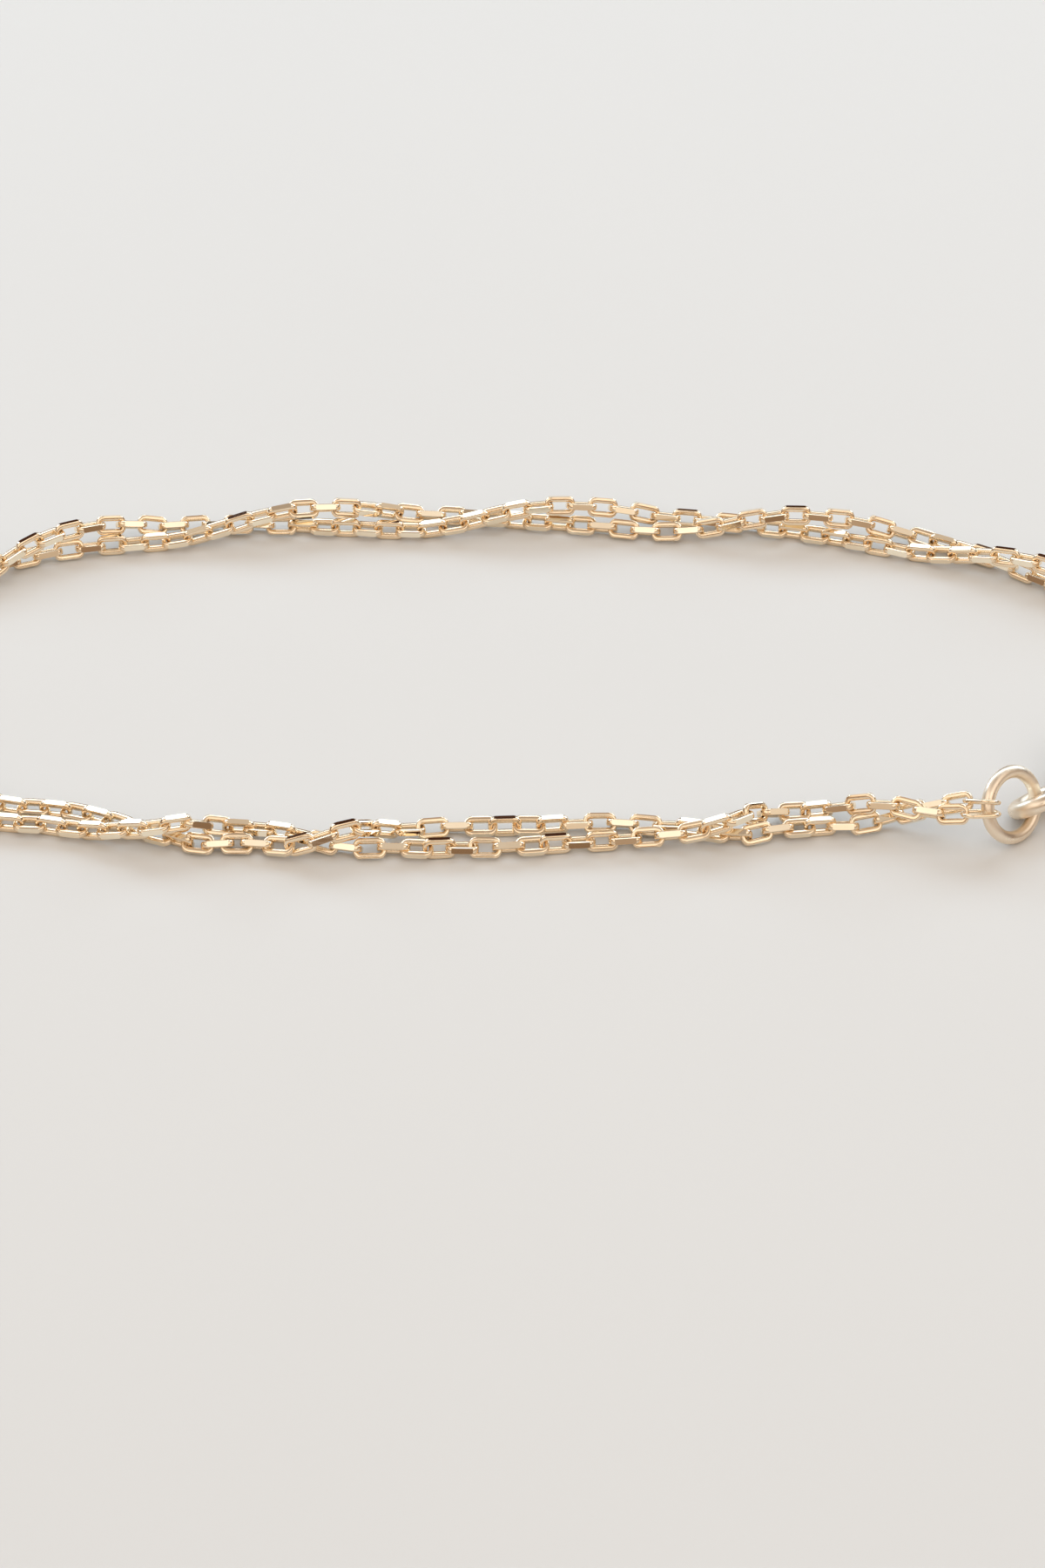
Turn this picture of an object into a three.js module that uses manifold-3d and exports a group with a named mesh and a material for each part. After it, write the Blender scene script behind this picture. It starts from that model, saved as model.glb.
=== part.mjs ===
// Two-strand cable chain bracelet, fastened and lying on a flat surface.
// Millimetres, +Z up. The origin is the middle of the footprint, on the surface.
// Every piece is a separate closed solid. The two fine chains are tubes along
// their true route, because their links are under two millimetres long.

import * as THREE from 'three';
import { mergeVertices } from 'three/addons/utils/BufferGeometryUtils.js';
import Module from 'manifold-3d';

// ---------------------------------------------------------------- sizes (mm)
const CHAIN_ACROSS = 1.04;      // one cable chain, across the corners of its section
const CHAIN_SIDES = 8;
const CHAIN_STEPS = 88;         // stations along one strand, closer where it bends
const CHAIN_REST = 0.60;        // height of a strand's axis where it lies on the surface
const CHAIN_PASS = 1.30;        // axis to axis where one strand passes over the other

const RING_OD = 4.50;           // both jump rings
const RING_WIRE = 0.76;

const END_LINK_LONG = 2.30;     // the larger link on the end of each strand
const END_LINK_WIDE = 1.44;
const END_LINK_WIRE = 0.26;
const END_LINK_PLAY = 0.07;     // clearance between ring wire and end link

const EYE_WIRE = 0.98;          // eyelet of the clasp
const EYE_MEAN_R = 1.35;
const CLASP_OD = 6.00;          // plain ring of the clasp
const CLASP_WIRE = 1.00;
const NECK_LENGTH = 0.30;       // bare metal between eyelet and clasp ring
const NECK_ACROSS = 0.90;

// Where the assembly's middle lies in the layout frame used by the tables.
const MIDDLE = { x: 0.05, y: 9.27 };

// ---------------------------------------------------------------- the route
// Front stretch of the two strands A and B, from the front jump ring to the left
// end: they lie side by side and pass over each other four times. x, y: place on
// the surface. z: height of the strand's axis above it.
const FRONT = [
  // x,      yA,    zA,    yB,    zB
  [ 24.85,  -4.11,  2.27,  -5.43,  2.43],
  [ 23.52,  -3.79,  1.67,  -5.06,  2.11],
  [ 22.44,  -3.63,  1.24,  -4.64,  1.94],
  [ 21.46,  -3.58,  0.89,  -4.22,  1.86],
  [ 20.40,  -3.83,  0.66,  -3.80,  1.81],
  [ 19.75,  -4.04,  0.61,  -3.66,  1.66],
  [ 19.11,  -4.22,  0.60,  -3.46,  1.42],
  [ 17.89,  -4.27,  0.60,  -2.97,  0.85],
  [ 16.66,  -4.37,  0.60,  -3.00,  0.60],
  [ 14.70,  -4.56,  0.60,  -3.25,  0.65],
  [ 13.72,  -4.79,  0.60,  -3.67,  1.00],
  [ 12.84,  -5.06,  0.60,  -4.36,  1.55],
  [ 12.01,  -5.10,  0.60,  -5.06,  1.78],
  [ 11.07,  -4.95,  0.60,  -5.44,  1.72],
  [ 10.09,  -4.64,  0.60,  -5.59,  1.40],
  [  8.82,  -4.41,  0.60,  -5.62,  1.10],
  [  7.35,  -4.26,  0.60,  -5.55,  0.85],
  [  5.98,  -4.11,  0.60,  -5.46,  0.65],
  [  4.41,  -4.03,  0.60,  -5.63,  0.60],
  [  2.45,  -4.18,  0.60,  -5.75,  0.60],
  [  0.00,  -4.30,  0.60,  -6.09,  0.60],
  [ -2.21,  -4.35,  0.60,  -6.19,  0.60],
  [ -4.17,  -4.40,  0.60,  -6.19,  0.60],
  [ -6.12,  -4.60,  0.60,  -6.28,  0.60],
  [ -7.35,  -4.76,  0.70,  -6.20,  0.60],
  [ -8.33,  -5.05,  1.10,  -6.24,  0.60],
  [ -9.21,  -5.64,  1.60,  -6.28,  0.60],
  [-10.00,  -6.11,  1.80,  -6.20,  0.60],
  [-10.78,  -6.37,  1.70,  -5.90,  0.60],
  [-11.61,  -6.47,  1.40,  -5.52,  0.60],
  [-12.64,  -6.43,  0.95,  -5.10,  0.60],
  [-13.62,  -6.15,  0.65,  -4.76,  0.60],
  [-14.70,  -5.90,  0.60,  -4.60,  0.60],
  [-16.56,  -5.86,  0.60,  -4.44,  0.62],
  [-17.54,  -5.94,  0.60,  -4.71,  0.95],
  [-18.52,  -5.82,  0.60,  -5.13,  1.55],
  [-19.45,  -5.44,  0.60,  -5.63,  1.78],
  [-20.68,  -4.98,  0.60,  -5.70,  1.68],
  [-21.76,  -4.60,  0.60,  -5.58,  1.42],
  [-22.79,  -4.03,  0.60,  -5.30,  1.15],
  [-24.01,  -3.50,  0.60,  -5.02,  0.85],
  [-25.23,  -3.15,  0.60,  -4.62,  0.65],
  [-26.95,  -2.81,  0.60,  -4.22,  0.60],
  [-29.40,  -2.54,  0.60,  -3.99,  0.60],
];
// The rest of the loop, as the middle of the pair: the left end, the back and the
// right end. twist: angle of strand A about strand B, degrees (0 above it, 90
// towards the inside of the loop, 180 below). spread: distance apart when side by
// side. lift: height of the lower strand above where it rests.
const BACK = [
  // x,      y,    twist, spread, lift
  [-29.40, -3.27,  -270,   1.45,  0.00],
  [-31.80, -2.55,  -315,   1.62,  0.00],
  [-33.60, -1.70,  -380,   1.55,  0.00],
  [-36.50,  2.10,  -440,   1.45,  0.00],
  [-37.50,  7.40,  -505,   1.45,  0.00],
  [-36.60, 13.20,  -575,   1.45,  0.00],
  [-33.30, 18.30,  -650,   1.45,  0.00],
  [-27.80, 21.60,  -725,   1.45,  0.00],
  [-20.60, 23.30,  -815,   1.45,  0.00],
  [-13.00, 24.00,  -905,   1.45,  0.00],
  [ -5.40, 24.30,  -995,   1.45,  0.00],
  [  2.20, 24.30, -1085,   1.45,  0.00],
  [  9.80, 24.00, -1175,   1.45,  0.00],
  [ 17.40, 23.30, -1265,   1.45,  0.00],
  [ 24.80, 21.70, -1355,   1.45,  0.00],
  [ 31.20, 18.60, -1432,   1.45,  0.00],
  [ 35.60, 14.40, -1500,   1.45,  0.00],
  [ 37.60, 10.20, -1560,   1.40,  0.06],
  [ 37.95,  7.20, -1600,   1.35,  0.30],
  [ 37.60,  5.10, -1630,   1.30,  0.62],
];

// ---------------------------------------------------------------- ring poses
const deg = THREE.MathUtils.degToRad;
const V = (x, y, z) => new THREE.Vector3(x, y, z);
const at = (origin, ...pairs) => {
  const p = origin.clone();
  for (const [axis, k] of pairs) p.addScaledVector(axis, k);
  return p;
};

// A circle in space: centre and two unit axes in its plane.
const ringMeanR = (RING_OD - RING_WIRE) / 2;
const claspMeanR = (CLASP_OD - CLASP_WIRE) / 2;

// The front jump ring leans back on the surface at 50 degrees and is turned
// 38 degrees, so its chain side is high and its clasp side is low.
const SLOPE = deg(50), TURN = deg(38.5), ROLL = deg(8);
const up = V(0, Math.cos(SLOPE), Math.sin(SLOPE));
const out = V(0, -Math.sin(SLOPE), Math.cos(SLOPE));
const frontRing = { r: ringMeanR, wire: RING_WIRE };
frontRing.b = at(V(0, 0, 0), [up, Math.cos(ROLL)], [V(1, 0, 0), Math.sin(ROLL)]);
frontRing.a = at(V(0, 0, 0), [out, -Math.sin(TURN)],
  [V(1, 0, 0), Math.cos(TURN) * Math.cos(ROLL)], [up, -Math.cos(TURN) * Math.sin(ROLL)]);

// Lowest reach of a circle below its centre.
const reach = (c) => {
  const n = c.a.clone().cross(c.b);
  return c.r * Math.sqrt(1 - n.z * n.z) + c.wire / 2;
};
frontRing.c = V(27.50, -4.16, reach(frontRing));

// Clasp: the eyelet hangs in the front ring, the clasp ring lies beyond it.
const CLASP_HEADING = deg(42), CLASP_DIP = deg(-4), EYE_LEAN = deg(49);
const eye = { r: EYE_MEAN_R, wire: EYE_WIRE };
const heading = V(Math.cos(CLASP_HEADING), Math.sin(CLASP_HEADING), 0);
const inward = V(-heading.y, heading.x, 0);
eye.a = at(V(0, 0, 0), [heading, Math.cos(CLASP_DIP)], [V(0, 0, 1), Math.sin(CLASP_DIP)]);
const eyeUp = eye.a.clone().cross(inward);
eye.b = at(V(0, 0, 0), [eyeUp, -Math.cos(EYE_LEAN)], [inward, Math.sin(EYE_LEAN)]);
const EYE_SEAT = 0.90, EYE_SEAT_ANGLE = deg(15);   // where the eyelet crosses the ring's hole
const seat = at(frontRing.c, [frontRing.a, EYE_SEAT * Math.cos(EYE_SEAT_ANGLE)],
  [frontRing.b, -EYE_SEAT * Math.sin(EYE_SEAT_ANGLE)]);
eye.c = at(seat, [eye.a, EYE_MEAN_R]);

const claspRing = { r: claspMeanR, wire: CLASP_WIRE };
const claspStep = EYE_MEAN_R + EYE_WIRE / 2 + NECK_LENGTH + CLASP_WIRE / 2 + claspMeanR;
claspRing.a = heading.clone();
claspRing.c = at(eye.c, [eye.a, EYE_MEAN_R], [heading, claspStep - EYE_MEAN_R]);
// its outer side rests on the surface, its inner side is raised
const claspTilt = Math.asin((claspRing.c.z - CLASP_WIRE / 2) / claspMeanR);
claspRing.b = at(V(0, 0, 0), [inward, Math.cos(claspTilt)], [V(0, 0, 1), Math.sin(claspTilt)]);

// Rear jump ring: stands leaning outwards, its lower part through the clasp ring.
const REAR_HEADING = deg(62), REAR_LEAN = deg(26);
const rearRing = { r: ringMeanR, wire: RING_WIRE };
const rearDir = V(Math.cos(REAR_HEADING), Math.sin(REAR_HEADING), 0);
const rearOut = V(rearDir.y, -rearDir.x, 0);
rearRing.a = rearDir;
rearRing.b = at(V(0, 0, 0), [V(0, 0, 1), Math.cos(REAR_LEAN)], [rearOut, Math.sin(REAR_LEAN)]);
const REAR_SEAT = 0.93;
const far = at(claspRing.c, [claspRing.a, claspMeanR]);
const rearZ = reach(rearRing);
const seatAngle = Math.asin((rearZ - far.z) / (REAR_SEAT * Math.cos(REAR_LEAN)));
rearRing.c = at(far, [rearRing.a, REAR_SEAT * Math.cos(seatAngle)],
  [rearRing.b, REAR_SEAT * Math.sin(seatAngle)]);

// ---------------------------------------------------------------- geometry helpers
const wasm = await Module();
wasm.setup();

const toSolid = (geometry) => {
  const g = geometry.clone();
  for (const name of Object.keys(g.attributes)) if (name !== 'position') g.deleteAttribute(name);
  const m = mergeVertices(g, 1e-4);
  return new wasm.Manifold(new wasm.Mesh({
    numProp: 3,
    vertProperties: new Float32Array(m.attributes.position.array),
    triVerts: new Uint32Array(m.index.array),
  }));
};
const toGeometry = (solid) => {
  const m = solid.getMesh();
  const g = new THREE.BufferGeometry();
  g.setAttribute('position', new THREE.BufferAttribute(new Float32Array(m.vertProperties), 3));
  g.setIndex(new THREE.BufferAttribute(new Uint32Array(m.triVerts), 1));
  g.computeVertexNormals();
  return g;
};
const frameOf = (c) => new THREE.Matrix4()
  .makeBasis(c.a, c.b, c.a.clone().cross(c.b)).setPosition(c.c);

const wireRing = (c, around = 32, section = 10) => {
  const g = new THREE.TorusGeometry(c.r, c.wire / 2, section, around);
  return g.applyMatrix4(frameOf(c));
};

// A long link: a torus whose centre circle is drawn out into an oval with
// straight sides.
const longLink = (long, wide, wire) => {
  const g = new THREE.TorusGeometry(1, wire / 2, 8, 24);
  const half = (wide - wire) / 2, straight = (long - wide) / 2;
  const p = g.attributes.position;
  for (let i = 0; i < p.count; i++) {
    const x = p.getX(i), y = p.getY(i);
    const r = Math.hypot(x, y), k = (half + (r - 1)) / r;
    p.setXY(i, x * k + Math.sign(Math.round(x * 1e4)) * straight, y * k);
  }
  return g;
};

// ---------------------------------------------------------------- strands
// Smooth values between the rows of a table.
const smooth = (points) => {
  const curve = new THREE.CatmullRomCurve3(points, false, 'centripetal');
  curve.arcLengthDivisions = 1200;
  return curve;
};
const place = smooth(BACK.map(([x, y, , , lift]) => V(x, y, lift)));
const turn = smooth(BACK.map(([, , twist, spread], i) => V(twist / 40, spread, i * 1.5)));
const softPower = (v) => Math.sign(v) * Math.pow(Math.abs(v), 1.25);

// Point of one strand in the rest of the loop: side is +1 for A and -1 for B.
function backPoint(t, side) {
  const p = place.getPoint(t);
  const d = place.getTangent(t).setZ(0).normalize();
  const inside = V(d.y, -d.x, 0);
  const w = turn.getPoint(t);
  const angle = deg(w.x * 40);
  const across = w.y * softPower(Math.sin(angle));
  const high = CHAIN_PASS * softPower(Math.cos(angle));
  const q = at(V(p.x, p.y, 0), [inside, side * across / 2]);
  q.z = CHAIN_REST + Math.max(0, p.z) + Math.max(0, side * high);
  return q;
}
const BACK_STATIONS = 44;
function strandPoints(side) {
  const front = FRONT.map(([x, yA, zA, yB, zB]) => (side > 0 ? V(x, yA, zA) : V(x, yB, zB)));
  const back = Array.from({ length: BACK_STATIONS }, (_, i) =>
    backPoint(place.getUtoTmapping((i + 1) / BACK_STATIONS), side));
  return [...front, ...back];
}

// End link on a ring's wire. angle: place on the ring, from its -a side
// (front ring) or +a side (rear ring) towards +b. leaving: gives the way the
// strand leaves. Returns the oval's frame and the point where the tube begins.
function endLink(ring, side, angle, leaving) {
  const wire = at(ring.c, [ring.a, side * ring.r * Math.cos(angle)], [ring.b, ring.r * Math.sin(angle)]);
  const along = at(V(0, 0, 0), [ring.a, -side * Math.sin(angle)], [ring.b, Math.cos(angle)]);
  const pull = leaving(wire);
  const b = along.clone().cross(pull).normalize();
  const lean = Math.abs(pull.dot(along));
  const hole = END_LINK_LONG / 2 - END_LINK_WIRE;
  const wireHalf = ring.wire / 2 / Math.sqrt(1 - lean * lean);
  const c = at(wire, [pull, hole - wireHalf - END_LINK_PLAY]);
  return { c, a: pull.clone(), b, start: at(c, [pull, hole + 0.04]), lean, wire };
}

// One strand from the front ring's end link to the rear ring's. Its stations
// stand closer together where it bends.
class Strand extends THREE.Curve {
  constructor(points, front, rear) {
    super();
    this.shiftFront = front.start.clone().sub(points[0]);
    this.shiftRear = rear.start.clone().sub(points[points.length - 1]);
    const moved = points.map((p, i) => at(p,
      [this.shiftFront, Math.max(0, 1 - i / 4)],
      [this.shiftRear, Math.max(0, 1 - (points.length - 1 - i) / 3)]));
    this.inner = smooth(moved);
    const n = 1600, turnWeight = 2.2;
    const tangents = Array.from({ length: n + 1 }, (_, i) => this.inner.getTangentAt(i / n));
    this.density = [0];
    const step = this.inner.getLength() / n;
    for (let i = 0; i < n; i++) {
      const bend = tangents[i].angleTo(tangents[i + 1]);
      this.density.push(this.density[i] + step + turnWeight * bend);
    }
  }
  getPoint(t, target = V(0, 0, 0)) {
    this.inner.getPoint(t, target);
    target.z = Math.max(target.z, CHAIN_REST);
    return target;
  }
  getUtoTmapping(u) {
    const d = this.density, goal = u * d[d.length - 1];
    let lo = 0, hi = d.length - 1;
    while (hi - lo > 1) { const mid = (lo + hi) >> 1; if (d[mid] <= goal) lo = mid; else hi = mid; }
    const f = d[hi] > d[lo] ? (goal - d[lo]) / (d[hi] - d[lo]) : 0;
    return this.inner.getUtoTmapping((lo + f) / (d.length - 1));
  }
}

const section = new THREE.Shape(Array.from({ length: CHAIN_SIDES }, (_, i) => {
  const angle = (i + 0.5) * 2 * Math.PI / CHAIN_SIDES;
  return new THREE.Vector2(Math.cos(angle), Math.sin(angle)).multiplyScalar(CHAIN_ACROSS / 2);
}));

function strandSolid(side, frontAngle, rearAngle) {
  const points = strandPoints(side), n = points.length;
  const front = endLink(frontRing, -1, deg(frontAngle), (wire) => points[0].clone().sub(wire).normalize());
  const rear = endLink(rearRing, 1, deg(rearAngle), () => points[n - 2].clone().sub(points[n - 1]).normalize());
  const path = new Strand(points, front, rear);
  const tube = new THREE.ExtrudeGeometry(section, {
    steps: CHAIN_STEPS, extrudePath: path, bevelEnabled: false,
  });
  let solid = toSolid(tube);
  for (const link of [front, rear]) {
    const oval = longLink(END_LINK_LONG, END_LINK_WIDE, END_LINK_WIRE).applyMatrix4(frameOf(link));
    solid = solid.add(toSolid(oval));
  }
  return { geometry: toGeometry(solid), path, front, rear };
}

// ---------------------------------------------------------------- pieces
const gold = (name, colour, roughness) => new THREE.MeshStandardMaterial({
  name, color: new THREE.Color(colour), roughness, metalness: 1,
});
const bracelet = new THREE.Group();
bracelet.name = 'cable_chain_bracelet';
const add = (name, geometry, material) => {
  const mesh = new THREE.Mesh(geometry, material);
  mesh.name = name;
  bracelet.add(mesh);
  return mesh;
};

const strandA = strandSolid(+1, -2, 14);
const strandB = strandSolid(-1, -22, -24);
add('chain_strand_a', strandA.geometry, gold('pale_gold_cut', 0xe8cf9f, 0.22));
add('chain_strand_b', strandB.geometry, gold('pale_gold_cut_b', 0xe6cc9b, 0.22));
add('jump_ring_front', wireRing(frontRing, 36, 10), gold('pale_gold_wire', 0xe2c69a, 0.30));
add('jump_ring_rear', wireRing(rearRing, 36, 10), gold('pale_gold_wire_b', 0xe2c69a, 0.30));

// The clasp: eyelet, neck and plain ring in one piece of metal.
const neckFrom = at(eye.c, [eye.a, EYE_MEAN_R]);
const neckTo = at(claspRing.c, [claspRing.a, -claspMeanR]);
const neckDir = neckTo.clone().sub(neckFrom);
const neck = new THREE.CylinderGeometry(NECK_ACROSS / 2, NECK_ACROSS / 2, neckDir.length(), 12)
  .applyMatrix4(new THREE.Matrix4().compose(
    neckFrom.clone().lerp(neckTo, 0.5),
    new THREE.Quaternion().setFromUnitVectors(V(0, 1, 0), neckDir.clone().normalize()),
    V(1, 1, 1)));
const clasp = toSolid(wireRing(claspRing, 40, 12))
  .add(toSolid(wireRing(eye, 32, 12)))
  .add(toSolid(neck));
add('ring_clasp', toGeometry(clasp), gold('pale_gold_clasp', 0xe0c498, 0.32));

bracelet.position.set(-MIDDLE.x, -MIDDLE.y, 0);

export default bracelet;
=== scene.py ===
"""Looks of the two-strand cable chain bracelet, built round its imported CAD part.

Metres, +Z up, the same frame as the CAD. Tables are in millimetres and turned to
metres where a mesh is made.
"""

import math

import bmesh
import bpy
import numpy as np
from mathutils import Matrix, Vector


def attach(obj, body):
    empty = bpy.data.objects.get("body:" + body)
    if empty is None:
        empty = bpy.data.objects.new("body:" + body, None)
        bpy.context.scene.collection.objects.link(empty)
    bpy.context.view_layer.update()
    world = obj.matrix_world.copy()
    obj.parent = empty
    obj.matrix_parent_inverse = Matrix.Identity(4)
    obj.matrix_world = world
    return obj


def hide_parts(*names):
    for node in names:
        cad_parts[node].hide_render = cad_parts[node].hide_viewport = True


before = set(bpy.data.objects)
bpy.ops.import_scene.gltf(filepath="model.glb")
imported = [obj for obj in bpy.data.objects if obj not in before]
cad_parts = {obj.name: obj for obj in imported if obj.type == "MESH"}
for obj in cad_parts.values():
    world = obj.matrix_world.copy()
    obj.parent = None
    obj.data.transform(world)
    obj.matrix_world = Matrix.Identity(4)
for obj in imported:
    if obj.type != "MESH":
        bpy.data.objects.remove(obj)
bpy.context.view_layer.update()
MM = 0.001

# ------------------------------------------------------------------ the route
# Points of each strand's axis, from the front jump ring's end link round the
# loop to the rear one's. They are the same points that the CAD strands follow.
STRAND_A = [
    (24.973, -13.504, 2.364), (23.600, -13.153, 1.740), (22.477, -12.962, 1.287), (21.453, -12.881, 0.913),
    (20.350, -13.100, 0.660), (19.700, -13.310, 0.610), (19.060, -13.490, 0.600), (17.840, -13.540, 0.600),
    (16.610, -13.640, 0.600), (14.650, -13.830, 0.600), (13.670, -14.060, 0.600), (12.790, -14.330, 0.600),
    (11.960, -14.370, 0.600), (11.020, -14.220, 0.600), (10.040, -13.910, 0.600), (8.770, -13.680, 0.600),
    (7.300, -13.530, 0.600), (5.930, -13.380, 0.600), (4.360, -13.300, 0.600), (2.400, -13.450, 0.600),
    (-0.050, -13.570, 0.600), (-2.260, -13.620, 0.600), (-4.220, -13.670, 0.600), (-6.170, -13.870, 0.600),
    (-7.400, -14.030, 0.700), (-8.380, -14.320, 1.100), (-9.260, -14.910, 1.600), (-10.050, -15.380, 1.800),
    (-10.830, -15.640, 1.700), (-11.660, -15.740, 1.400), (-12.690, -15.700, 0.950), (-13.670, -15.420, 0.650),
    (-14.750, -15.170, 0.600), (-16.610, -15.130, 0.600), (-17.590, -15.210, 0.600), (-18.570, -15.090, 0.600),
    (-19.500, -14.710, 0.600), (-20.730, -14.250, 0.600), (-21.810, -13.870, 0.600), (-22.840, -13.300, 0.600),
    (-24.060, -12.770, 0.600), (-25.280, -12.420, 0.600), (-27.000, -12.080, 0.600), (-29.450, -11.810, 0.600),
    (-31.643, -11.332, 1.435), (-34.198, -10.877, 1.722), (-36.110, -9.126, 1.191), (-37.461, -6.839, 0.624),
    (-37.985, -4.270, 0.600), (-37.891, -1.704, 0.600), (-37.432, 0.782, 0.600), (-36.653, 3.135, 0.600),
    (-35.431, 5.236, 0.600), (-34.036, 7.163, 0.600), (-32.512, 8.946, 1.084), (-30.716, 10.550, 1.624),
    (-28.662, 11.942, 1.892), (-26.421, 13.081, 1.759), (-24.051, 13.998, 1.260), (-21.609, 14.603, 0.667),
    (-19.108, 14.897, 0.600), (-16.586, 14.870, 0.600), (-14.079, 14.717, 0.600), (-11.582, 14.602, 0.600),
    (-9.089, 14.394, 0.600), (-6.606, 14.290, 0.600), (-4.128, 14.384, 0.951), (-1.650, 14.650, 1.532),
    (0.836, 14.965, 1.873), (3.328, 15.181, 1.813), (5.828, 15.432, 1.381), (8.332, 15.520, 0.787),
    (10.821, 15.347, 0.600), (13.293, 14.941, 0.600), (15.747, 14.373, 0.600), (18.173, 13.765, 0.600),
    (20.557, 13.019, 0.600), (22.895, 12.267, 0.600), (25.199, 11.526, 0.805), (27.525, 10.768, 1.351),
    (29.833, 9.899, 1.768), (32.021, 8.722, 1.896), (34.101, 7.292, 1.669), (35.989, 5.544, 1.164),
    (37.405, 3.347, 0.610), (37.865, 0.796, 1.025), (37.557, -1.858, 1.570), (36.623, -4.333, 2.281),
]
STRAND_B = [
    (24.652, -14.715, 2.437), (23.359, -14.341, 2.116), (22.316, -13.917, 1.944), (21.373, -13.494, 1.862),
    (20.350, -13.070, 1.810), (19.700, -12.930, 1.660), (19.060, -12.730, 1.420), (17.840, -12.240, 0.850),
    (16.610, -12.270, 0.600), (14.650, -12.520, 0.650), (13.670, -12.940, 1.000), (12.790, -13.630, 1.550),
    (11.960, -14.330, 1.780), (11.020, -14.710, 1.720), (10.040, -14.860, 1.400), (8.770, -14.890, 1.100),
    (7.300, -14.820, 0.850), (5.930, -14.730, 0.650), (4.360, -14.900, 0.600), (2.400, -15.020, 0.600),
    (-0.050, -15.360, 0.600), (-2.260, -15.460, 0.600), (-4.220, -15.460, 0.600), (-6.170, -15.550, 0.600),
    (-7.400, -15.470, 0.600), (-8.380, -15.510, 0.600), (-9.260, -15.550, 0.600), (-10.050, -15.470, 0.600),
    (-10.830, -15.170, 0.600), (-11.660, -14.790, 0.600), (-12.690, -14.370, 0.600), (-13.670, -14.030, 0.600),
    (-14.750, -13.870, 0.600), (-16.610, -13.710, 0.620), (-17.590, -13.980, 0.950), (-18.570, -14.400, 1.550),
    (-19.500, -14.900, 1.780), (-20.730, -14.970, 1.680), (-21.810, -14.850, 1.420), (-22.840, -14.570, 1.150),
    (-24.060, -14.290, 0.850), (-25.280, -13.890, 0.650), (-27.000, -13.490, 0.600), (-29.450, -13.260, 0.600),
    (-32.020, -12.322, 0.600), (-33.803, -10.452, 0.600), (-35.125, -8.436, 0.600), (-36.104, -6.346, 0.600),
    (-36.752, -4.089, 1.090), (-37.213, -1.699, 1.644), (-37.384, 0.776, 1.896), (-37.140, 3.285, 1.742),
    (-36.450, 5.769, 1.225), (-35.187, 8.038, 0.640), (-33.334, 9.895, 0.600), (-31.074, 11.159, 0.600),
    (-28.695, 12.016, 0.600), (-26.284, 12.626, 0.600), (-23.826, 12.900, 0.600), (-21.374, 13.181, 0.600),
    (-18.955, 13.616, 1.030), (-16.527, 14.119, 1.592), (-14.072, 14.611, 1.888), (-11.605, 15.032, 1.780),
    (-9.129, 15.464, 1.315), (-6.640, 15.718, 0.726), (-4.145, 15.719, 0.600), (-1.650, 15.485, 0.600),
    (0.838, 15.138, 0.600), (3.319, 14.827, 0.600), (5.791, 14.426, 0.600), (8.256, 14.114, 0.600),
    (10.731, 13.979, 0.882), (13.220, 14.033, 1.468), (15.717, 14.122, 1.850), (18.215, 14.033, 1.844),
    (20.733, 13.940, 1.445), (23.248, 13.606, 0.850), (25.683, 12.842, 0.600), (27.957, 11.710, 0.600),
    (30.064, 10.293, 0.600), (31.990, 8.682, 0.600), (33.650, 6.838, 0.600), (35.023, 4.836, 0.600),
    (36.110, 2.745, 0.620), (36.460, 0.601, 0.823), (36.464, -1.686, 1.102), (35.797, -4.099, 1.116),
]

# Rings and end links: centre, two unit axes in the plane, mean radius and wire.
FRONT_RING = dict(c=(27.450, -13.430, 2.062), a=(0.77499, 0.40686, -0.48358), b=(0.13917, 0.63653, 0.75859), r=1.87, wire=0.76)
REAR_RING = dict(c=(35.256, -7.108, 2.061), a=(0.46947, 0.88295, 0.00000), b=(0.38706, -0.20580, 0.89879), r=1.87, wire=0.76)
EYE = dict(c=(29.092, -12.323, 1.371), a=(0.74133, 0.66750, -0.06976), b=(-0.53901, 0.53024, -0.65446), r=1.35, wire=0.98)
CLASP_RING = dict(c=(32.909, -8.886, 1.277), a=(0.74314, 0.66913, 0.00000), b=(-0.63601, 0.70636, 0.31074), r=2.5, wire=1)
END_LINKS = {
    "A": (dict(c=(25.666, -13.998, 2.739), a=(-0.74449, 0.53183, -0.40361), b=(-0.66461, -0.53290, 0.52374)),
          dict(c=(36.385, -5.222, 2.412), a=(0.25653, 0.95619, -0.14106), b=(-0.86898, 0.29207, 0.39946))),
    "B": (dict(c=(25.576, -14.624, 2.391), a=(-0.99398, -0.09758, 0.04989), b=(0.10959, -0.88275, 0.45688)),
          dict(c=(35.774, -5.011, 1.293), a=(0.02374, 0.98141, -0.19046), b=(-0.83867, 0.12324, 0.53052))),
}

# ------------------------------------------------------------------ the links
LINK_LONG = 1.92        # outside
LINK_WIDE = 1.17        # outside, across the two cut faces
CUT = 0.055             # depth of the flat cut on each side
WIRE_SIDE = 0.40        # wire across the link's plane, before the cut
WIRE_END = 0.28        # wire at the link's ends, along the chain
WIRE_THICK = 0.41       # wire through the link's plane
PITCH = 1.345           # link to link where the chain is drawn straight
END_LONG, END_WIDE, END_WIRE = 2.30, 1.44, 0.26

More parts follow.
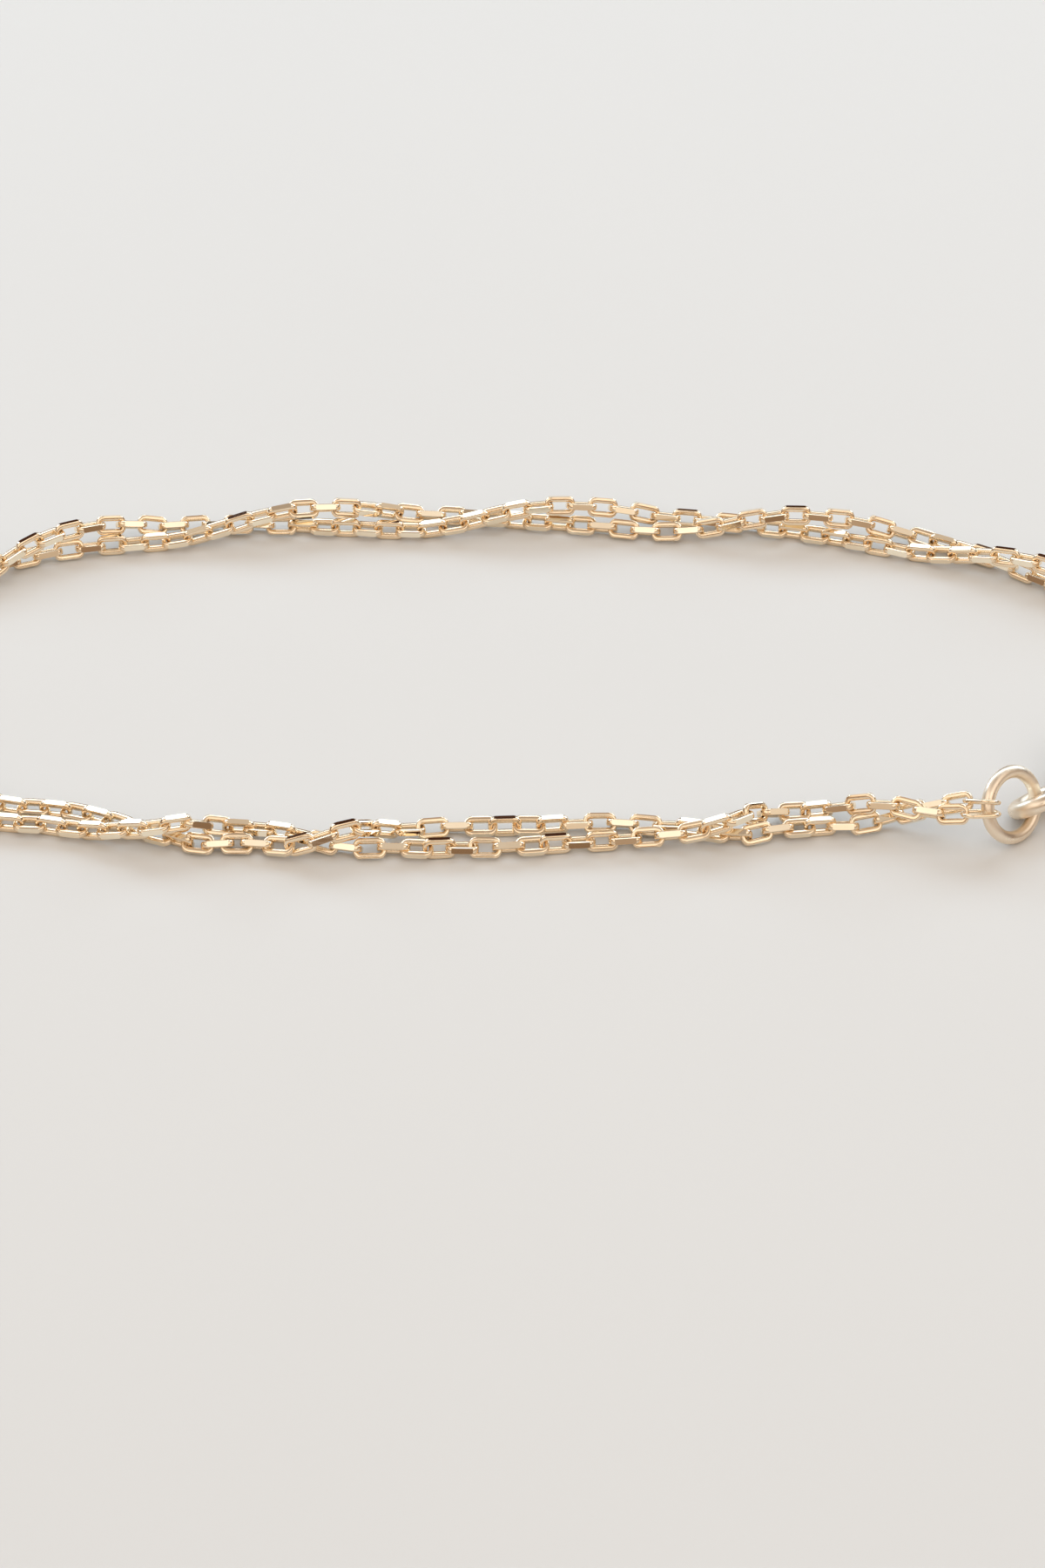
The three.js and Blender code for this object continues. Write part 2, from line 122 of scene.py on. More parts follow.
# Where the links of the front stretch lie, from the right: x of the middle in
# mm, and roll in degrees, 0 with the open side to the front at 40 degrees up
# and 90 with a cut face there.
LAID_A = [
    (1096, -12), (1070, 72), (1044, -14), (1018, 74), (991, -10), (967, -83), (943, 39), (917.5, -40),
    (893, 78), (868.5, 0), (845, 72), (820, -36), (794, 36), (768.5, -74), (741.5, 4), (715.5, 84),
    (689.5, -2), (662, -80), (635, 41), (608.5, -32), (581, 31), (554.5, -29), (527, 80), (500, -4),
    (473.5, -69), (447, 48), (420, -46), (392, 29), (367, -72), (342.5, 29), (318, -31), (295, 80),
    (273, -8), (251, 84), (229, -18), (205.5, 62), (182, -38), (158, 50), (134, -42), (110, 48),
    (86, -42), (61, 45), (35, -45), (9, 45),
]
LAID_B = [
    (1091, 10), (1066, 80), (1039.5, -4), (1012.5, -80), (986.5, 12), (962, -80), (938.5, 42), (915, -26),
    (891, 86), (868.5, 8), (845, -70), (821, 42), (796, -26), (770, 82), (743.5, -10), (718, -78),
    (691.5, 20), (664, -72), (638, 30), (611.5, -36), (584, 76), (557, -4), (531, -72), (505, 26),
    (479, -40), (452.5, 76), (426, -4), (398, 86), (371.5, 8), (346, -68), (322, 44), (298, -66),
    (274, 52), (250.5, -20), (227, -78), (203, 45), (179, -56), (155, 40), (131, -50), (107, 42),
    (83, -48), (58, 40), (33, -50), (8, 42),
]

# Where one strand's links lie on the other's, how far they are held off it, in mm,
# by the number of the link.
HELD_OFF = {
    "A": {46: 0.03, 47: 0.07, 48: 0.03},
    "B": {3: 0.03, 4: 0.08, 5: 0.03, 8: 0.02, 9: 0.06, 10: 0.02, 34: 0.02, 35: 0.05, 36: 0.02},
}


def laid(table):
    return [((px - 600.0) * 0.049 - 0.05, roll) for px, roll in table]


# ------------------------------------------------------------------ small maths
def vec(*v):
    return np.array(v, float)


def unit(v):
    return v / np.linalg.norm(v)


def spline(points, per=24):
    """A dense centripetal Catmull-Rom line through the points."""
    p = [np.array(q, float) for q in points]
    p = [2 * p[0] - p[1]] + p + [2 * p[-1] - p[-2]]
    out = []
    for i in range(1, len(p) - 2):
        p0, p1, p2, p3 = p[i - 1:i + 3]
        d0, d1, d2 = (max(1e-4, float(np.dot(b - a, b - a)) ** 0.25) for a, b in ((p0, p1), (p1, p2), (p2, p3)))
        t1 = ((p1 - p0) / d0 - (p2 - p0) / (d0 + d1) + (p2 - p1) / d1) * d1
        t2 = ((p2 - p1) / d1 - (p3 - p1) / (d1 + d2) + (p3 - p2) / d2) * d1
        for k in range(per):
            t = k / per
            out.append((2 * t**3 - 3 * t**2 + 1) * p1 + (t**3 - 2 * t**2 + t) * t1
                       + (3 * t**2 - 2 * t**3) * p2 + (t**3 - t**2) * t2)
    out.append(p[-2])
    line = np.array(out)
    line[:, 2] = np.maximum(line[:, 2], 0.60)
    return line


class Path:
    """A line that is read by the distance along it, in mm."""

    def __init__(self, line):
        self.line = line
        step = np.linalg.norm(np.diff(line, axis=0), axis=1)
        self.s = np.concatenate([[0], np.cumsum(step)])
        self.length = self.s[-1]

    def at(self, s):
        if s < 0:
            d = unit(self.line[1] - self.line[0])
            return self.line[0] + d * s
        if s > self.length:
            d = unit(self.line[-1] - self.line[-2])
            return self.line[-1] + d * (s - self.length)
        return np.array([np.interp(s, self.s, self.line[:, k]) for k in range(3)])

    def where_x(self, x):
        """Distance at which the front stretch, run from right to left, passes x."""
        n = int(np.argmax(self.line[:, 0] < -30.6)) or len(self.line)
        return float(np.interp(-x, -self.line[:n, 0], self.s[:n]))


# ------------------------------------------------------------------ one link
def link_form(long, wide, wire_end, wire_side, thick, cut=0.0, corner=0.52, squareness=2.6):
    """Points and faces of one link: a rounded oblong of flattened wire in its own
    XY plane, long in X. With a cut, the outer face of each long side is a true
    flat, and its outline ends where the wire curves away from it."""
    full = wide + 2 * cut
    half_x, half_y = long / 2 - corner, full / 2 - corner
    edge = math.degrees(math.acos(1 - cut / corner)) if cut else 25.0
    turn = [0, 0.42 * edge, 0.75 * edge, edge, edge + 10, 0.5 * (edge + 10) + 30, 68, 79]
    stations = []                       # (x, y, outward angle from +Y) on the outer outline
    for quarter in range(4):
        flip = quarter % 2
        sx, sy = ((1, 1), (1, -1), (-1, -1), (-1, 1))[quarter]
        arc = turn + [90]
        arc = arc[::-1] if flip else arc
        for a in arc:
            r = math.radians(a)
            stations.append((sx * (half_x + corner * math.sin(r)), sy * (half_y + corner * math.cos(r)),
                             sx * math.sin(r), sy * math.cos(r)))
        nxt = ((1, -1), (-1, -1), (-1, 1), (1, 1))[quarter]
        a = 90 if not flip else 0       # the straight that follows this corner
        here = stations[-1]
        n = 1 if not flip else 3
        end = (nxt[0] * (half_x + (corner if a == 90 else 0)), nxt[1] * (half_y + (corner if a == 0 else 0)))
        for k in range(1, n + 1):
            f = k / (n + 1)
            stations.append((here[0] + (end[0] - here[0]) * f, here[1] + (end[1] - here[1]) * f, here[2], here[3]))
    ring_points, is_cut = 16, []
    verts = []
    for x, y, nx, ny in stations:
        wire = wire_end * nx * nx + wire_side * ny * ny
        deep = thick * (0.90 + 0.10 * ny * ny)
        reach = wide / 2 if cut else 1e9
        limit = wire / 2
        over = abs(y) - reach           # how far the outer outline stands past the cut plane
        if cut and over > 1e-6 and abs(ny) > 0.3:
            limit = wire / 2 - over / abs(ny)
        c = np.clip(limit / (wire / 2), -1, 1)
        start = math.acos(max(0.0, c) ** (squareness / 2))
        flat = start > 0.16
        start = max(start, 0.10)
        is_cut.append(flat)
        mid = (x - nx * wire / 2, y - ny * wire / 2)
        for k in range(ring_points):
            a = start + (2 * math.pi - 2 * start) * k / (ring_points - 1)
            ca, sa = math.cos(a), math.sin(a)
            out = wire / 2 * math.copysign(abs(ca) ** (2 / squareness), ca)
            side = deep / 2 * math.copysign(abs(sa) ** (2 / squareness), sa)
            if k in (0, ring_points - 1) and flat:
                out = limit
            verts.append((mid[0] + nx * out, mid[1] + ny * out, side))
    n = len(stations)
    faces, kind, sharp = [], [], []
    for i in range(n):
        j = (i + 1) % n
        for k in range(ring_points):
            m = (k + 1) % ring_points
            faces.append((i * ring_points + k, j * ring_points + k, j * ring_points + m, i * ring_points + m))
            kind.append(1 if k == ring_points - 1 and is_cut[i] and is_cut[j] else 0)
        if is_cut[i] and is_cut[j]:
            sharp += [(i * ring_points, j * ring_points), ((i + 1) * ring_points - 1, (j + 1) * ring_points - 1)]
        if is_cut[i] != is_cut[j]:
            e = i if is_cut[i] else j
            sharp.append((e * ring_points, (e + 1) * ring_points - 1))
    return np.array(verts), np.array(faces), np.array(kind), sharp


def outward(verts, faces):
    """Turns the faces so that the closed form's volume is positive."""
    a, b, c, d = (verts[faces[:, k]] for k in range(4))
    v = np.einsum("ij,ij->i", a, np.cross(b, c)).sum() + np.einsum("ij,ij->i", a, np.cross(c, d)).sum()
    return faces if v > 0 else faces[:, ::-1]


def mesh_piece(name, verts, faces, kinds, sharp, materials):
    """One mesh object in metres from arrays of points in mm and quads."""
    me = bpy.data.meshes.new(name)
    n, m = len(verts), len(faces)
    me.vertices.add(n)
    me.vertices.foreach_set("co", (np.asarray(verts, np.float64) * MM).astype(np.float32).ravel())
    me.loops.add(m * 4)
    me.loops.foreach_set("vertex_index", np.asarray(faces, np.int32).ravel())
    me.polygons.add(m)
    me.polygons.foreach_set("loop_start", np.arange(0, m * 4, 4, dtype=np.int32))
    me.polygons.foreach_set("material_index", np.asarray(kinds, np.int32))
    me.polygons.foreach_set("use_smooth", np.ones(m, bool))
    me.update(calc_edges=True)
    if len(sharp):
        want = {(min(a, b), max(a, b)) for a, b in sharp}
        ends = np.zeros(len(me.edges) * 2, np.int32)
        me.edges.foreach_get("vertices", ends)
        ends = ends.reshape(-1, 2)
        ends.sort(axis=1)
        key = ends[:, 0].astype(np.int64) * n + ends[:, 1]
        keys = np.array(sorted(a * n + b for a, b in want), np.int64)
        me.attributes.new("sharp_edge", "BOOLEAN", "EDGE")
        me.attributes["sharp_edge"].data.foreach_set("value", np.isin(key, keys))
    me.validate()
    for mat in materials:
        me.materials.append(mat)
    ob = bpy.data.objects.new(name, me)
    bpy.context.scene.collection.objects.link(ob)
    return ob


# ------------------------------------------------------------------ one strand
def roll_axes(tangent, roll):
    """The link's width direction and its plane's normal. Roll is measured as in the
    tables, from a direction 40 degrees off the vertical towards the loop's inside."""
    up = unit(vec(0, 0, 1) - tangent * tangent[2])
    inside = unit(np.cross(tangent, up))
    psi = math.radians(40 - roll)
    wide = up * math.cos(psi) + inside * math.sin(psi)
    return wide, np.cross(tangent, wide)


def strand_links(path, table, seed):
    """[(middle, along, width direction, stretch)] of every link."""
    rng = np.random.default_rng(seed)
    centres, rolls = [path.where_x(x) for x, _ in laid(table)], [r for _, r in laid(table)]
    s, roll, drift = centres[-1], rolls[-1], 0.0
    left = path.length - PITCH / 2 - s
    count = int(round(left / (PITCH * 0.985)))
    step = left / count
    sense = 1
    for i in range(count):
        s += step
        drift = 0.8 * drift + rng.normal(0, 5.0)
        roll = roll + 90 + float(np.clip(drift, -22, 22)) + rng.normal(0, 6.0)
        centres.append(s)
        rolls.append(roll)
    centres = np.array(centres)
    joints = np.concatenate([[0.0], (centres[1:] + centres[:-1]) / 2, [path.length]])
    longest = LINK_LONG - 2 * WIRE_END - 0.004
    for _ in range(3000):               # no link is pulled past its own length
        over = np.maximum(0.0, np.diff(joints) - longest)
        if over.max() < 1e-4:
            break
        pull = 0.5 * over
        joints[1:-1] += pull[1:] - pull[:-1]
    out = []
    for i in range(len(centres)):
        a, b = path.at(joints[i]), path.at(joints[i + 1])
        along = unit(b - a)
        wide, normal = roll_axes(along, rolls[i])
        out.append([(a + b) / 2, along, wide, normal])
    return out, np.diff(joints)


def build_strand(name, points, table, ends, seed, held_off, materials):
    path = Path(spline(points))
    links, spans = strand_links(path, table, seed)
    rng = np.random.default_rng(seed + 100)
    v0, f0, k0, sharp0 = link_form(LINK_LONG, LINK_WIDE, WIRE_END, WIRE_SIDE, WIRE_THICK, CUT)
    f0 = outward(v0, f0)
    ve, fe, ke, _ = link_form(END_LONG, END_WIDE, END_WIRE, END_WIRE, END_WIRE + 0.02, 0.0, corner=0.68, squareness=2.1)
    fe = outward(ve, fe)
    verts, faces, kinds, sharp, count = [], [], [], [], 0
    for number, (mid, along, wide, normal) in enumerate(links):
        tilt = rng.normal(0, 1.2, 2)    # a little lean of each link in its neighbours
        turn = np.array([along, wide, normal])
        wobble = np.array([[1, math.radians(tilt[0]), math.radians(tilt[1])],
                           [-math.radians(tilt[0]), 1, 0], [-math.radians(tilt[1]), 0, 1]])
        p = (v0 @ wobble) @ turn + mid
        p[:, 2] += held_off.get(number, 0.0)
        low = p[:, 2].min()
        if low < 0.012:
            p[:, 2] += 0.012 - low
        verts.append(p)
        faces.append(f0 + count)
        kinds.append(k0)
        sharp += [(a + count, b + count) for a, b in sharp0]
        count += len(v0)
    for e in ends:
        a, b = vec(*e["a"]), vec(*e["b"])
        p = ve @ np.array([a, b, np.cross(a, b)]) + vec(*e["c"])
        verts.append(p)
        faces.append(fe + count)
        kinds.append(ke)
        count += len(ve)
    ob = mesh_piece(name, np.vstack(verts), np.vstack(faces), np.concatenate(kinds), sharp, materials)
    print(name, "links", len(links), "span", round(float(spans.min()), 3), round(float(spans.max()), 3),
          "tris", 2 * sum(len(f) for f in faces))
    return ob


# ------------------------------------------------------------------ rings
def ring_piece(name, c, materials, around=160, section=32, seam=0.0, seed=0):
    """A round wire ring with the slight unevenness of a hand-closed and soldered
    ring: the wire's girth wanders a little and swells at the seam."""
    rng = np.random.default_rng(seed)
    phase = rng.uniform(0, 2 * math.pi, 6)
    a, b = vec(*c["a"]), vec(*c["b"])
    n = np.cross(a, b)
    t = np.arange(around) * 2 * math.pi / around
    u = np.arange(section) * 2 * math.pi / section
    away = np.abs((t - seam + math.pi) % (2 * math.pi) - math.pi)
    girth = (c["wire"] / 2) * (1 - 0.012 + 0.006 * np.sin(2 * t + phase[0]) + 0.004 * np.sin(5 * t + phase[1])
                               + 0.008 * np.exp(-((away / 0.16) ** 2)))
    mean = c["r"] + 0.006 * np.sin(2 * t + phase[2]) * c["r"] / 2
    lift = 0.010 * np.sin(2 * t + phase[3])
    radial = mean[:, None] + girth[:, None] * np.cos(u)[None]
    axial = lift[:, None] + girth[:, None] * np.sin(u)[None]
    p = (radial[..., None] * (np.cos(t)[:, None, None] * a + np.sin(t)[:, None, None] * b)
         + axial[..., None] * n + vec(*c["c"]))
    verts = p.reshape(-1, 3)
    i = np.arange(around)[:, None]
    k = np.arange(section)[None]
    j, m = (i + 1) % around, (k + 1) % section
    faces = np.stack(np.broadcast_arrays(i * section + k, j * section + k, j * section + m, i * section + m), -1).reshape(-1, 4)
    faces = outward(verts - vec(*c["c"]), faces)
    return mesh_piece(name, verts, faces, np.zeros(len(faces), int), [], materials)


def clasp_piece(name, materials):
    """Eyelet, neck and ring as one body with soft soldered fillets. A voxel mesh
    gives the body, and each point is then moved on to the exact blended surface."""
    eye_c, ring_c = vec(*EYE["c"]), vec(*CLASP_RING["c"])
    heading = vec(*CLASP_RING["a"])
    neck_a = eye_c + vec(*EYE["a"]) * EYE["r"]
    neck_b = ring_c - heading * CLASP_RING["r"]

    def torus(p, c):
        a, b = vec(*c["a"]), vec(*c["b"])
        n = unit(np.cross(a, b))
        d = p - vec(*c["c"])
        z = d @ n
        r = np.sqrt(np.maximum((d @ a) ** 2 + (d @ b) ** 2, 1e-12))
        return np.sqrt((r - c["r"]) ** 2 + z**2) - c["wire"] / 2

    def bar(p, a, b, r):
        t = np.clip((p - a) @ (b - a) / np.dot(b - a, b - a), 0, 1)
        return np.linalg.norm(p - a - t[:, None] * (b - a), axis=1) - r

    def soft(x, y, k):
        h = np.clip(0.5 + 0.5 * (y - x) / k, 0, 1)
        return y * (1 - h) + x * h - k * h * (1 - h)

    def form(p):
        return soft(soft(torus(p, EYE), bar(p, neck_a, neck_b, 0.40), 0.22), torus(p, CLASP_RING), 0.22) + 0.004

    parts = bmesh.new()
    for c in (EYE, CLASP_RING):
        a, b = vec(*c["a"]), vec(*c["b"])
        n = np.cross(a, b)
        grid = []
        for i in range(64):
            t = i * 2 * math.pi / 64
            row = []
            for k in range(20):
                u = k * 2 * math.pi / 20
                q = (vec(*c["c"]) + (c["r"] + c["wire"] / 2 * math.cos(u)) * (a * math.cos(t) + b * math.sin(t))
                     + n * c["wire"] / 2 * math.sin(u))
                row.append(parts.verts.new(q))
            grid.append(row)
        for i in range(64):
            for k in range(20):
                parts.faces.new((grid[i][k], grid[(i + 1) % 64][k], grid[(i + 1) % 64][(k + 1) % 20], grid[i][(k + 1) % 20]))
    along = Vector(neck_b - neck_a)
    turn = Vector((0, 0, 1)).rotation_difference(along.normalized()).to_matrix().to_4x4()
    turn.translation = Vector((neck_a + neck_b) / 2)
    bmesh.ops.create_cone(parts, cap_ends=True, segments=24, radius1=0.42, radius2=0.42, depth=along.length, matrix=turn)
    bmesh.ops.recalc_face_normals(parts, faces=parts.faces)
    me = bpy.data.meshes.new(name + "_base")
    parts.to_mesh(me)
    parts.free()
    ob = bpy.data.objects.new(name + "_base", me)
    bpy.context.scene.collection.objects.link(ob)
    mod = ob.modifiers.new("body", "REMESH")
    mod.mode = "VOXEL"
    mod.voxel_size = 0.055
    dg = bpy.context.evaluated_depsgraph_get()
    out = bpy.data.meshes.new_from_object(ob.evaluated_get(dg))
    bpy.data.objects.remove(ob)
    bpy.data.meshes.remove(me)
    p = np.zeros(len(out.vertices) * 3, np.float32)
    out.vertices.foreach_get("co", p)
    p = p.reshape(-1, 3).astype(np.float64)
    edges = np.zeros(len(out.edges) * 2, np.int32)
    out.edges.foreach_get("vertices", edges)
    edges = edges.reshape(-1, 2)
    h = 1e-4

    def slope(q):
        g = np.stack([(form(q + np.eye(3)[k] * h) - form(q - np.eye(3)[k] * h)) / (2 * h) for k in range(3)], 1)
        return g / np.maximum(np.linalg.norm(g, axis=1), 1e-9)[:, None]

    degree = np.bincount(edges.ravel(), minlength=len(p))[:, None]
    for step in range(14):              # spread the points evenly, and keep them on the surface
        total = np.zeros_like(p)
        np.add.at(total, edges[:, 0], p[edges[:, 1]])
        np.add.at(total, edges[:, 1], p[edges[:, 0]])
        p = p + 0.5 * (total / degree - p)
        for _ in range(3):
            p = p - form(p)[:, None] * slope(p)
    out.vertices.foreach_set("co", (p * MM).astype(np.float32).ravel())
    out.polygons.foreach_set("use_smooth", np.ones(len(out.polygons), bool))
    out.update()
    out.name = name
    for mat in materials:
        out.materials.append(mat)
    ob = bpy.data.objects.new(name, out)
    bpy.context.scene.collection.objects.link(ob)
    print(name, "faces", len(out.polygons))
    return ob


# ------------------------------------------------------------------ materials
def node(tree, kind, **values):
    n = tree.nodes.new(kind)
    for key, value in values.items():
        if key in n.inputs:
            n.inputs[key].default_value = value
        else:
            setattr(n, key, value)
    return n


def gold(name, base, dark, rough, bump_um, marks):
    """Polished pale gold. The colour and roughness drift slowly over the metal, and
    fine rubbing marks and pits break up its reflections."""
    mat = bpy.data.materials.new(name)
    mat.use_nodes = True
    t = mat.node_tree
    t.nodes.clear()
    out = node(t, "ShaderNodeOutputMaterial")
    bsdf = node(t, "ShaderNodeBsdfPrincipled", Metallic=1.0)
    t.links.new(bsdf.outputs["BSDF"], out.inputs["Surface"])
    where = node(t, "ShaderNodeTexCoord")
    # slow drift of tone
    drift = node(t, "ShaderNodeTexNoise", Scale=620.0, Detail=3.0, Roughness=0.55)
    t.links.new(where.outputs["Object"], drift.inputs["Vector"])
    ramp = node(t, "ShaderNodeValToRGB")
    ramp.color_ramp.elements[0].position, ramp.color_ramp.elements[1].position = 0.30, 0.68
    ramp.color_ramp.elements[0].color, ramp.color_ramp.elements[1].color = (*dark, 1), (*base, 1)
    t.links.new(drift.outputs["Fac"], ramp.inputs["Fac"])
    t.links.new(ramp.outputs["Color"], bsdf.inputs["Base Color"])
    # rubbing marks: stretched noise, kept fine
    stretch = node(t, "ShaderNodeMapping")
    stretch.inputs["Scale"].default_value = marks
    t.links.new(where.outputs["Object"], stretch.inputs["Vector"])
    lines = node(t, "ShaderNodeTexNoise", Scale=1.0, Detail=4.0, Roughness=0.7)
    t.links.new(stretch.outputs["Vector"], lines.inputs["Vector"])
    pits = node(t, "ShaderNodeTexNoise", Scale=5200.0, Detail=2.0, Roughness=0.5)
    t.links.new(where.outputs["Object"], pits.inputs["Vector"])
    amount = node(t, "ShaderNodeMapRange")
    amount.inputs["From Min"].default_value, amount.inputs["From Max"].default_value = 0.32, 0.74
    amount.inputs["To Min"].default_value, amount.inputs["To Max"].default_value = rough * 0.72, rough * 1.55
    t.links.new(lines.outputs["Fac"], amount.inputs["Value"])
    t.links.new(amount.outputs["Result"], bsdf.inputs["Roughness"])
    mix = node(t, "ShaderNodeMath", operation="MULTIPLY_ADD")
    mix.inputs[1].default_value = 0.45
    t.links.new(pits.outputs["Fac"], mix.inputs[0])
    t.links.new(lines.outputs["Fac"], mix.inputs[2])
    bump = node(t, "ShaderNodeBump", Strength=1.0, Distance=bump_um * 1e-6)
    t.links.new(mix.outputs["Value"], bump.inputs["Height"])
    t.links.new(bump.outputs["Normal"], bsdf.inputs["Normal"])
    return mat


WIRE_GOLD = gold("chain_wire_gold", (0.970, 0.815, 0.610), (0.945, 0.755, 0.530), 0.19, 1.0, (900, 900, 2400))
CUT_GOLD = gold("chain_cut_face_gold", (0.965, 0.875, 0.705), (0.945, 0.825, 0.640), 0.055, 0.35, (700, 5200, 5200))
RING_GOLD = gold("ring_gold", (0.940, 0.830, 0.685), (0.910, 0.780, 0.620), 0.34, 0.6, (900, 900, 900))
CLASP_GOLD = gold("clasp_gold", (0.935, 0.820, 0.670), (0.900, 0.765, 0.600), 0.35, 0.6, (850, 850, 850))

# ------------------------------------------------------------------ pieces
strand_a = build_strand("strand_a_links", STRAND_A, LAID_A, END_LINKS["A"], 11, HELD_OFF["A"], [WIRE_GOLD, CUT_GOLD])
strand_b = build_strand("strand_b_links", STRAND_B, LAID_B, END_LINKS["B"], 23, HELD_OFF["B"], [WIRE_GOLD, CUT_GOLD])
ring_front = ring_piece("front_ring_wire", FRONT_RING, [RING_GOLD], seam=4.2, seed=3)
ring_rear = ring_piece("rear_ring_wire", REAR_RING, [RING_GOLD], seam=1.2, seed=5)
clasp = clasp_piece("clasp_body", [CLASP_GOLD])

for ob, cad, slot in ((strand_a, "chain_strand_a", "cut_gold_chain"), (strand_b, "chain_strand_b", "cut_gold_chain"),
                      (ring_front, "jump_ring_front", "polished_gold_wire"),
                      (ring_rear, "jump_ring_rear", "polished_gold_wire"),
                      (clasp, "ring_clasp", "polished_gold_clasp")):
    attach(ob, "root")
    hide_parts(cad)

# ------------------------------------------------------------------ floor
floor_mesh = bpy.data.meshes.new("floor")
b = bmesh.new()
bmesh.ops.create_grid(b, x_segments=8, y_segments=8, size=1.6)
b.to_mesh(floor_mesh)
b.free()
floor = bpy.data.objects.new("floor", floor_mesh)
bpy.context.scene.collection.objects.link(floor)
pale = bpy.data.materials.new("pale_floor")
pale.use_nodes = True
t = pale.node_tree
pb = t.nodes["Principled BSDF"]
pb.inputs["Roughness"].default_value = 0.55
pb.inputs["Specular IOR Level"].default_value = 0.3
w = node(t, "ShaderNodeTexCoord")
nz = node(t, "ShaderNodeTexNoise", Scale=14.0, Detail=3.0)
t.links.new(w.outputs["Object"], nz.inputs["Vector"])
rp = node(t, "ShaderNodeValToRGB")
rp.color_ramp.elements[0].color, rp.color_ramp.elements[1].color = (0.615, 0.615, 0.610, 1), (0.640, 0.640, 0.634, 1)
t.links.new(nz.outputs["Fac"], rp.inputs["Fac"])
t.links.new(rp.outputs["Color"], pb.inputs["Base Color"])
floor_mesh.materials.append(pale)

# ------------------------------------------------------------------ light
scene = bpy.context.scene
world = bpy.data.worlds.new("studio")
scene.world = world
world.use_nodes = True
t = world.node_tree
t.nodes.clear()
wo = node(t, "ShaderNodeOutputWorld")
bg = node(t, "ShaderNodeBackground", Strength=1.0)
t.links.new(bg.outputs["Background"], wo.inputs["Surface"])
tc = node(t, "ShaderNodeTexCoord")
sep = node(t, "ShaderNodeSeparateXYZ")
t.links.new(tc.outputs["Generated"], sep.inputs["Vector"])


def ramp_of(stops):
    r = node(t, "ShaderNodeValToRGB")
    e = r.color_ramp.elements
    while len(e) > 1:
        e.remove(e[-1])
    e[0].position, e[0].color = stops[0][0], (*stops[0][1], 1)
    for pos, col in stops[1:]:
        k = e.new(pos)
        k.color = (*col, 1)
    return r


# by height (0 at the horizon, 1 overhead): one set for behind, one for the front
back = ramp_of([(0.0, (0.16, 0.105, 0.075)), (0.10, (0.055, 0.022, 0.013)), (0.42, (0.065, 0.028, 0.018)), (0.56, (0.56, 0.47, 0.40)), (0.88, (0.66, 0.56, 0.47)), (0.97, (0.40, 0.32, 0.26))])
front = ramp_of([(0.0, (0.22, 0.13, 0.075)), (0.24, (0.34, 0.22, 0.14)), (0.40, (1.10, 0.94, 0.78)), (0.60, (1.42, 1.28, 1.14)), (0.80, (1.28, 1.15, 1.02)), (0.97, (0.42, 0.34, 0.28))])
for r in (back, front):
    t.links.new(sep.outputs["Z"], r.inputs["Fac"])
side = node(t, "ShaderNodeMapRange")
side.interpolation_type = "SMOOTHSTEP"
side.inputs["From Min"].default_value, side.inputs["From Max"].default_value = -0.35, 0.35
t.links.new(sep.outputs["Y"], side.inputs["Value"])
mx = node(t, "ShaderNodeMix", data_type="RGBA")
t.links.new(side.outputs["Result"], mx.inputs["Factor"])
t.links.new(front.outputs["Color"], mx.inputs[6])
t.links.new(back.outputs["Color"], mx.inputs[7])
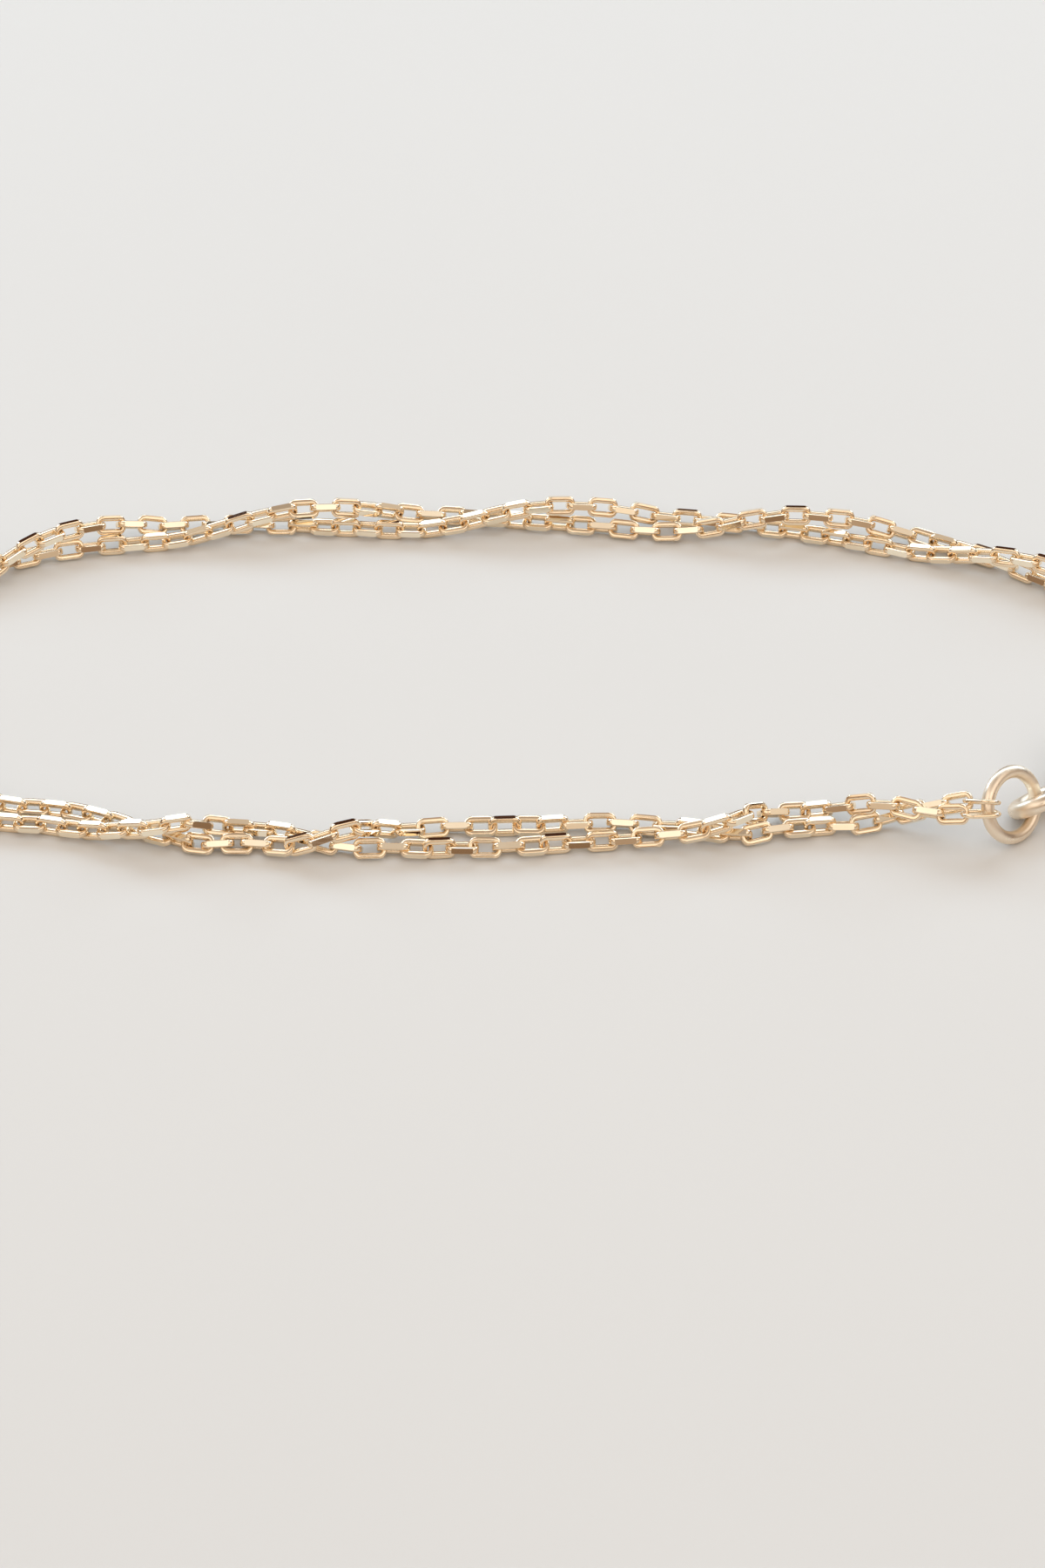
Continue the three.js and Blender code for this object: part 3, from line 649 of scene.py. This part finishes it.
# the dark front of the camera, as a small soft patch
toward = node(t, "ShaderNodeVectorMath", operation="DOT_PRODUCT")
toward.inputs[1].default_value = (0.0, -math.cos(math.radians(40)), math.sin(math.radians(40)))
t.links.new(tc.outputs["Generated"], toward.inputs[0])
patch = node(t, "ShaderNodeMapRange")
patch.interpolation_type = "SMOOTHSTEP"
patch.inputs["From Min"].default_value, patch.inputs["From Max"].default_value = math.cos(math.radians(10)), math.cos(math.radians(6))
t.links.new(toward.outputs["Value"], patch.inputs["Value"])
mp = node(t, "ShaderNodeMix", data_type="RGBA")
t.links.new(patch.outputs["Result"], mp.inputs["Factor"])
t.links.new(mx.outputs[2], mp.inputs[6])
mp.inputs[7].default_value = (0.10, 0.09, 0.08, 1)
t.links.new(mp.outputs[2], bg.inputs["Color"])


def softbox(name, loc, aim, size, watts, colour=(1, 1, 1)):
    la = bpy.data.lights.new(name, "AREA")
    la.shape = "RECTANGLE"
    la.size, la.size_y = size
    la.energy = watts
    la.color = colour
    ob = bpy.data.objects.new(name, la)
    ob.location = loc
    ob.rotation_euler = (Vector(aim) - Vector(loc)).to_track_quat("-Z", "Y").to_euler()
    scene.collection.objects.link(ob)
    return ob


softbox("key_behind", (0.0, 0.42, 0.40), (0, 0, 0), (0.62, 0.333), 1.10, (0.80, 1.0, 1.17))
softbox("low_left", (-0.42, 0.42, 0.24), (0, 0, 0), (0.30, 0.24), 1.15, (0.80, 1.0, 1.17))
softbox("low_right", (0.42, 0.42, 0.24), (0, 0, 0), (0.30, 0.24), 1.00, (0.80, 1.0, 1.17))
# a broad warm fill from above for the floor only, so that shadows stay light and warm
softbox("fill_above", (0.0, -0.12, 0.50), (0, 0, 0), (0.70, 0.70), 0.98, (1.05, 1.0, 0.93)).visible_glossy = False

# ------------------------------------------------------------------ camera
UP = math.radians(40)
cam = bpy.data.cameras.new("camera")
cam.lens = 100.0
cam.sensor_width = 36.0
cam.sensor_fit = "AUTO"
cam.clip_start, cam.clip_end = 0.01, 20.0
cam_ob = bpy.data.objects.new("camera", cam)
back_dir = Vector((0, -math.cos(UP), math.sin(UP)))
aim = Vector((-0.00005, -0.00927 + 0.00006 * 0.64, 0.00006 * 0.77))
cam_ob.location = aim + back_dir * (0.2450 + 0.0042)
cam_ob.rotation_euler = (-back_dir).to_track_quat("-Z", "Y").to_euler()
scene.collection.objects.link(cam_ob)
scene.camera = cam_ob
scene.view_settings.view_transform = "Standard"
scene.view_settings.look = "None"
